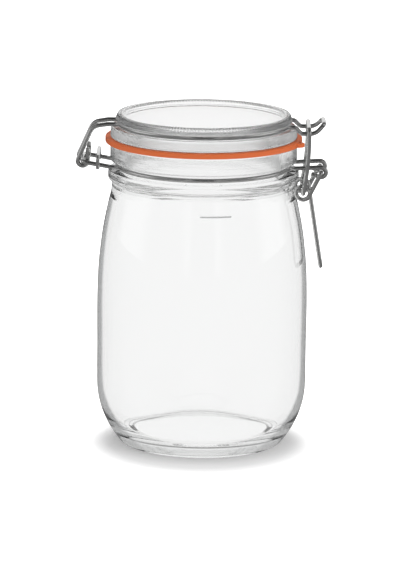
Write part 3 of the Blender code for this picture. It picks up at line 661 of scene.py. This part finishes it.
def make_glass(name, tint, edge_shade, slant, low_slant, density, frost, rings, painted_sheen):
    """Clear glass of one tint that absorbs light at an even density per metre. Where the outer skin turns
    away from the eye by more than the slant, the tint runs over into the painted edge shade, a dark tint
    seen by the camera alone, and low on the wall by low_slant earlier, down to the foot. The frost, the
    rings and the painted sheen are functions of the height and the radius: how rough the face is, how deep
    the fine rings are, and how much of the face is painted matt white where it is seen at a flat angle."""
    material, clear, tool = new_material(name)
    z, radius = axis_fields(tool)
    outside = Field(tool.tree, tool.node("ShaderNodeAttribute", {"attribute_name": "outside"}).outputs["Fac"])
    turned_away = Field(tool.tree, tool.node("ShaderNodeLayerWeight", Blend=0.5).outputs["Facing"])
    leaning = turned_away + (1 - above(z, *LOW_WALL)) * low_slant + (outside - 1) * INNER_SKIN_LESS
    at_foot = (1 - above(z, *FOOT)) * low_slant * FOOT_LESS
    path = tool.node("ShaderNodeLightPath").outputs
    # The share of painted edge shade, for camera rays alone.
    edge = above(leaning, *slant) * outside.math("MINIMUM", 1.0) * (1 - at_foot)
    edge = edge * Field(tool.tree, path["Is Camera Ray"])
    colour = tool.node("ShaderNodeMix", {"data_type": "RGBA"}, _0=edge, _6=tint, _7=edge_shade)
    tool.tree.links.new(colour.outputs[2], clear.inputs["Base Color"])
    wave = noise(tool, place(tool), 28.0, 1.0) + noise(tool, place(tool), 90.0, 1.0) * 0.25
    flat = tool.node("ShaderNodeMapping", Vector=place(tool), Scale=(12.0, 12.0, 900.0))
    ring = noise(tool, flat.outputs[0], 1.0, 2.0) * rings(z, radius)
    bump = tool.node("ShaderNodeBump", Height=wave * 0.35 + ring, Strength=1.0, Distance=0.1 * MM)
    clear.inputs["IOR"].default_value = 1.5
    clear.inputs["Transmission Weight"].default_value = 1.0
    tool.tree.links.new(frost(z, radius).socket, clear.inputs["Roughness"])
    tool.tree.links.new(bump.outputs[0], clear.inputs["Normal"])
    lamp_path = tool.node("ShaderNodeBsdfTransparent", Color=LAMP_LIGHT)
    # Painted sheen: matt white mixed in where the face is seen at a flat angle.
    white = tool.node("ShaderNodeBsdfDiffuse", Color=PAINTED_SHEEN_WHITE)
    painted_sheen_share = above(turned_away, *PAINTED_SHEEN_SLANT) * painted_sheen(z, radius)
    skin = tool.node("ShaderNodeMixShader", _0=painted_sheen_share, _1=clear.outputs[0], _2=white.outputs[0])
    face = tool.node("ShaderNodeMixShader", _0=path["Is Shadow Ray"], _1=skin.outputs[0],
                     _2=lamp_path.outputs[0])
    inside = tool.node("ShaderNodeVolumeAbsorption", Color=ABSORBED, Density=density)
    output = tool.tree.nodes["Material Output"]
    tool.tree.links.new(face.outputs[0], output.inputs["Surface"])
    tool.tree.links.new(inside.outputs[0], output.inputs["Volume"])
    print(name, "ready")
    return material


# %% Where the glass is rough, ringed or painted white
def bore_frost(z, radius):
    """The bore of the neck is a little rough, where the plunger was drawn out of the hot glass."""
    return above(z, 139 * MM, 3 * MM) * (1 - above(radius, 41 * MM, 0.6 * MM)) * 0.22


def neck_rings(z, radius):
    """Fine rings on the sealing ring alone, fading in above the groove, at any radius."""
    return above(z, 150 * MM, 4 * MM) * 0.5


def no_painted_sheen(z, radius):
    """No painted sheen anywhere on the body."""
    return 0.0


def panel_frost(z, radius):
    """The underside of the sunk panel and the plug below it are matt from the mould."""
    return (1 - above(z, 165.5 * MM, 1 * MM)) * (1 - above(radius, 40.6 * MM, 0.4 * MM)) * 0.35


def flange_rings(z, radius):
    """Fine rings on the lid's flange and rim at any height, none on the panel."""
    return above(radius, 41.5 * MM, 1 * MM) * 0.4


def panel_painted_sheen(z, radius):
    """The top of the sunk panel is painted matt white where it is seen at a flat angle, in place of
    the mirror image of the white room.
    """
    return above(z, 167.8 * MM, 0.5 * MM) * (1 - above(radius, 41.6 * MM, 0.8 * MM)) * 0.8


# %% Glass of the body and of the lid
# Glass tint, and the grey of its painted edge shade, darker on the lid.
CLEAR, EDGE_SHADE_GREY, DARK_EDGE_SHADE_GREY = (0.985, 0.987, 0.986, 1), (0.26, 0.265, 0.265, 1), (0.16, 0.163, 0.163, 1)
body_glass = make_glass(
    "clear_pressed_glass", CLEAR, EDGE_SHADE_GREY, slant=(0.70, 0.08), low_slant=0.12, density=3.0,
    frost=bore_frost, rings=neck_rings, painted_sheen=no_painted_sheen,
)
lid_glass = make_glass(
    "clear_lid_glass", CLEAR, DARK_EDGE_SHADE_GREY, slant=(0.20, 0.24), low_slant=0.0, density=1.0,
    frost=panel_frost, rings=flange_rings, painted_sheen=panel_painted_sheen,
)

# %% [markdown]
# ## Orange rubber
# Natural rubber coloured orange, cut from a sheet: a satin surface with a faint bloom of dust, and
# nearly the same colour all through. Glass lies against the ring above and below and would mirror it in
# many thin orange lines, so a ray that has met a mirror on its way finds the ring pale grey.


# %% Rubber
ORANGE, BLOOM_ORANGE, IN_MIRRORS = (0.47, 0.086, 0.014, 1), (0.56, 0.12, 0.023, 1), (0.75, 0.75, 0.75, 1)


def make_rubber(name):
    """Orange with a soft cloud of lighter bloom, and a fine grain in the bump."""
    material, shader, tool = new_material(name)
    at = place(tool)
    bloom = noise(tool, at, 60.0, 3.0)
    grain = noise(tool, at, 900.0, 2.0)
    colour = tool.node("ShaderNodeMix", {"data_type": "RGBA"}, _0=bloom * 0.5, _6=ORANGE, _7=BLOOM_ORANGE)
    bump = tool.node("ShaderNodeBump", Height=grain, Strength=0.3, Distance=0.05 * MM)
    mirrored_ray = Field(tool.tree, tool.node("ShaderNodeLightPath").outputs["Glossy Depth"])
    seen = tool.node("ShaderNodeMix", {"data_type": "RGBA"}, _0=mirrored_ray.math("MINIMUM", 1.0),
                     _6=colour.outputs[2], _7=IN_MIRRORS)
    tool.tree.links.new(seen.outputs[2], shader.inputs["Base Color"])
    tool.tree.links.new((0.48 + bloom * 0.15).socket, shader.inputs["Roughness"])
    tool.tree.links.new(bump.outputs[0], shader.inputs["Normal"])
    shader.inputs["Specular IOR Level"].default_value = 0.4
    print(name, "ready")
    return material


orange_rubber = make_rubber("orange_rubber")

# %% [markdown]
# ## Drawn steel wire
# The wire is bright drawn steel. Drawing pulls fine lines along it, so the noise is squeezed across the
# wire and stretched along it with the UV map, and the roughness and the bump follow it.


# %% Wire steel
DULL_STEEL, BRIGHT_STEEL = (0.50, 0.50, 0.495, 1), (0.60, 0.60, 0.595, 1)


def make_wire_steel(name):
    """Metal whose roughness and bump carry long thin streaks along the wire, with a faint grey cloud."""
    material, shader, tool = new_material(name)
    along = tool.node("ShaderNodeTexCoord").outputs["UV"]
    stretch = tool.node("ShaderNodeMapping", Vector=along, Scale=(30.0, 0.06, 1.0))
    streak = noise(tool, stretch.outputs[0], 1.0, 3.0)
    cloud = noise(tool, place(tool), 220.0, 2.0)
    bump = tool.node("ShaderNodeBump", Height=streak, Strength=0.2, Distance=0.03 * MM)
    colour = tool.node("ShaderNodeMix", {"data_type": "RGBA"}, _0=cloud, _6=DULL_STEEL, _7=BRIGHT_STEEL)
    tool.tree.links.new(colour.outputs[2], shader.inputs["Base Color"])
    tool.tree.links.new((0.12 + streak * 0.14).socket, shader.inputs["Roughness"])
    tool.tree.links.new(bump.outputs[0], shader.inputs["Normal"])
    shader.inputs["Metallic"].default_value = 1.0
    print(name, "ready")
    return material


wire_steel = make_wire_steel("drawn_wire_steel")

# %% [markdown]
# ## Pieces on their bodies
# Each piece rides on the body that carries it when a joint turns, and stands for one plain solid of the
# frame. The lid's body has the lid, its wire and the rubber ring. The ring itself is left out of mirror
# images, for the same reason as its pale colour in them.

# %% Give each piece its finish and its place in the frame
for piece, node, body, finish, slot in (
    (glass_body, "jar_body", "jar", body_glass, "body_glass"),
    (glass_lid, "lid", "lid", lid_glass, "lid_glass"),
    (rubber_ring, "gasket", "lid", orange_rubber, "gasket_rubber"),
    (steel_lid_wire, "lid_wire", "lid", wire_steel, "lid_wire_steel"),
    (steel_neck_wire, "neck_wire", "jar", wire_steel, "neck_wire_steel"),
    (steel_neck_clip, "neck_clip", "jar", wire_steel, "neck_clip_steel"),
    (steel_lever, "lever", "lever", wire_steel, "lever_steel"),
    (steel_bail, "bail", "bail", wire_steel, "bail_steel"),
):
    piece.data.materials.append(finish)
    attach(piece, body)
    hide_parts(node)
    print(piece.name, "stands for", node, "on", body)

rubber_ring.visible_glossy = False

# %% [markdown]
# ## The floor
# The jar stands on plain white with only its own soft shadow. The floor under it is lit by the lamps and
# takes the shadow, and away from it the floor glows more and more, so that no grey is left further out.
# Through the glass it is plain white too, but for a painted shadow, a dark line along the front of the
# ring that the jar stands on, where hardly any light gets in. In mirror images it is dark, which draws the
# wires' lower sides.

# %% Floor
FLOOR_SIZE, FLOOR_DROP, FLOOR_GREY = 3, 0.05 * MM, (0.86, 0.86, 0.86, 1)
WHITE, MIRROR_GLOW, LEAST_GLOW, CONTACT_SHADOW_DARK = (1, 1, 1, 1), 0.24, 0.1, 0.75
floor_mesh = bpy.data.meshes.new("floor")
floor_corners = [(x * FLOOR_SIZE, y * FLOOR_SIZE, 0) for x, y in ((-1, -1), (1, -1), (1, 1), (-1, 1))]
floor_mesh.from_pydata(floor_corners, [], [(0, 1, 2, 3)])
floor = bpy.data.objects.new("floor", floor_mesh)
bpy.context.scene.collection.objects.link(floor)
floor.location.z = -FLOOR_DROP
floor_white, floor_shader, tool = new_material("studio_white")
floor_shader.inputs["Base Color"].default_value = FLOOR_GREY
floor_shader.inputs["Roughness"].default_value = 0.9
floor_shader.inputs["Specular IOR Level"].default_value = 0.0


def glow_of(tool, level):
    """A grey light of the given level, which may vary over the floor."""
    grey = tool.node("ShaderNodeCombineColor", Red=level, Green=level, Blue=level)
    return tool.node("ShaderNodeEmission", Color=grey.outputs[0], Strength=1.0)


spot = tool.node("ShaderNodeSeparateXYZ", Vector=place(tool)).outputs
spot_x, spot_y = Field(tool.tree, spot["X"]), Field(tool.tree, spot["Y"])
from_shadow = (spot_x * spot_x + (spot_y + 15 * MM) ** 2) ** 0.5
glow = glow_of(tool, above(from_shadow, 60 * MM, 30 * MM) * (1 - LEAST_GLOW) + LEAST_GLOW)
lit = tool.node("ShaderNodeAddShader", _0=floor_shader.outputs[0], _1=glow.outputs[0])
in_mirrors = tool.node("ShaderNodeEmission", Color=WHITE, Strength=MIRROR_GLOW)
from_axis = (spot_x * spot_x + spot_y * spot_y) ** 0.5
# A painted contact shadow: a dark ring under the front of the bearing ring, seen only through the glass.
painted_contact_shadow = above(from_axis, 41.5 * MM, 2 * MM) * (1 - above(from_axis, 44.5 * MM, 1.5 * MM))
painted_contact_shadow = painted_contact_shadow * above(spot_y * -1, 22 * MM, 20 * MM)
through_glass = glow_of(tool, 1 - painted_contact_shadow * CONTACT_SHADOW_DARK)
floor_ray = tool.node("ShaderNodeLightPath").outputs
not_after_matt = 1 - Field(tool.tree, floor_ray["Diffuse Depth"]).math("MINIMUM", 1.0)
seen_by_eye = Field(tool.tree, floor_ray["Is Transmission Ray"]) * not_after_matt
face = tool.node("ShaderNodeMixShader", _0=floor_ray["Is Glossy Ray"], _1=lit.outputs[0],
                 _2=in_mirrors.outputs[0])
face = tool.node("ShaderNodeMixShader", _0=seen_by_eye, _1=face.outputs[0], _2=through_glass.outputs[0])
tool.tree.links.new(face.outputs[0], tool.tree.nodes["Material Output"].inputs["Surface"])
floor_mesh.materials.append(floor_white)
print("floor:", 2 * FLOOR_SIZE, "m square")

# %% [markdown]
# ## The studio round the jar
# Metal and glass need something dark to draw their edges with. So in mirror images the white room is dark
# overhead, at the opening where the camera stands, and in the four slanting directions between its walls,
# where a studio would hang black flags. Through the glass it is nearly white all round, and behind the
# jar it is plain white. A matt surface deep inside the glass gets almost none of its light.

# %% World
ROOM_GREY, DEEP_GREY = (0.66, 0.66, 0.66, 1), (0.05, 0.05, 0.05, 1)
world = bpy.data.worlds.new("studio")
bpy.context.scene.world = world
world.use_nodes = True
sky = Field(world.node_tree, None)
ray = sky.node("ShaderNodeLightPath").outputs
looking = sky.node("ShaderNodeTexCoord").outputs["Generated"]
direction = sky.node("ShaderNodeSeparateXYZ", Vector=looking).outputs
to_x, to_y, to_z = (Field(world.node_tree, direction[axis]) for axis in "XYZ")


def ramp_up(field, low, high):
    """0 below low, 1 above high and smooth between them."""
    return above(field, (low + high) / 2, high - low)


overhead = ramp_up(to_z, 0.30, 0.75)
camera_gap = (1 - ramp_up(to_x.math("ABSOLUTE", 0.0), 0.20, 0.30)) * ramp_up(to_y * -1, 0.1, 0.4)
flags = ramp_up((to_x * to_y).math("ABSOLUTE", 0.0), 0.20, 0.42)
reflected = (1 - overhead * 0.85) * (1 - camera_gap * 0.9) * (1 - flags * 0.7)
seen_through = (1 - overhead * 0.05) * (1 - flags * 0.12)
so_far = world.node_tree.nodes["Background"]
so_far.inputs["Color"].default_value = ROOM_GREY
levels = {"Is Glossy Ray": reflected, "Is Transmission Ray": seen_through, "Is Camera Ray": 1.0}
for kind, strength in levels.items():
    white_sky = sky.node("ShaderNodeBackground", Color=WHITE, Strength=strength)
    so_far = sky.node("ShaderNodeMixShader", _0=ray[kind], _1=so_far.outputs[0], _2=white_sky.outputs[0])
deep_sky = sky.node("ShaderNodeBackground", Color=DEEP_GREY, Strength=1.0)
faces_crossed = Field(world.node_tree, ray["Transmission Depth"]).math("GREATER_THAN", 2.5)
deep_inside = Field(world.node_tree, ray["Diffuse Depth"]).math("MINIMUM", 1.0) * faces_crossed
so_far = sky.node("ShaderNodeMixShader", _0=deep_inside, _1=so_far.outputs[0], _2=deep_sky.outputs[0])
world.node_tree.links.new(so_far.outputs[0], world.node_tree.nodes["World Output"].inputs["Surface"])
print("world:", len(world.node_tree.nodes), "nodes")

# %% [markdown]
# ## Lamps and camera
# Three soft lamps light the floor and the matt parts, and none shows in mirror images. The camera looks
# down by nearly thirteen degrees. Its focal length is in pixels of a picture 400 wide and 570 high, and
# the two shifts move the middle of the view to where the jar's axis meets it.


# %% Lamps
LAMP_AIM = (0, 0, 0.09)


def soft_lamp(name, place_at, width, height, watts):
    """A rectangular lamp at a place, turned to shine at the middle of the jar."""
    data = bpy.data.lights.new(name, "AREA")
    data.shape, data.size, data.size_y, data.energy = "RECTANGLE", width, height, watts
    lamp = bpy.data.objects.new(name, data)
    bpy.context.scene.collection.objects.link(lamp)
    lamp.location = place_at
    lamp.visible_glossy = lamp.visible_transmission = False
    to_aim = np.array(LAMP_AIM) - np.array(place_at)
    tilt = math.acos(-to_aim[2] / np.linalg.norm(to_aim))
    lamp.rotation_euler = (tilt, 0, math.atan2(to_aim[0], -to_aim[1]) + math.pi)
    print(name, "lamp:", watts, "W")


soft_lamp("front_left", (-0.8, -1.0, 0.9), 0.7, 0.7, 0.4)
soft_lamp("front_right", (0.9, -0.8, 0.7), 0.5, 0.8, 4.0)
soft_lamp("overhead", (0.0, 0.1, 1.3), 0.5, 0.5, 7.0)

# %% Camera
PICTURE_W, PICTURE_H, SENSOR = 400, 570, 36
FOCUS_PIXELS, MIDDLE_X, MIDDLE_Y = 3557.5, 202.3, 273.75
DISTANCE, TARGET_Z = 1850 * MM, 87.5 * MM
ELEVATION, ROLL = math.radians(12.70), math.radians(0.65)
camera_data = bpy.data.cameras.new("camera")
camera_data.lens = FOCUS_PIXELS / PICTURE_H * SENSOR
camera_data.sensor_width = SENSOR
camera_data.shift_x = (PICTURE_W / 2 - MIDDLE_X) / PICTURE_H
camera_data.shift_y = (MIDDLE_Y - PICTURE_H / 2) / PICTURE_H
camera = bpy.data.objects.new("camera", camera_data)
camera.location = (0, -DISTANCE * math.cos(ELEVATION), TARGET_Z + DISTANCE * math.sin(ELEVATION))
tilt_down = Matrix.Rotation(math.pi / 2 - ELEVATION, 4, "X")
camera.rotation_euler = (tilt_down @ Matrix.Rotation(ROLL, 4, "Z")).to_euler()
bpy.context.scene.collection.objects.link(camera)
bpy.context.scene.camera = camera
print("camera:", round(camera_data.lens, 2), "mm lens")

# %% [markdown]
# ## Light paths
# Light crosses eight or more glass faces on its way through the jar and its lid. With Blender's few
# bounces the glass would go black in its thickest places, so more are allowed. The Standard view keeps
# the white of the floor white.

# %% Light paths and view
bpy.context.scene.view_settings.view_transform = "Standard"
light_paths = bpy.context.scene.cycles
light_paths.glossy_bounces, light_paths.transmission_bounces, light_paths.max_bounces = 12, 24, 24
print("bounces:", light_paths.max_bounces)
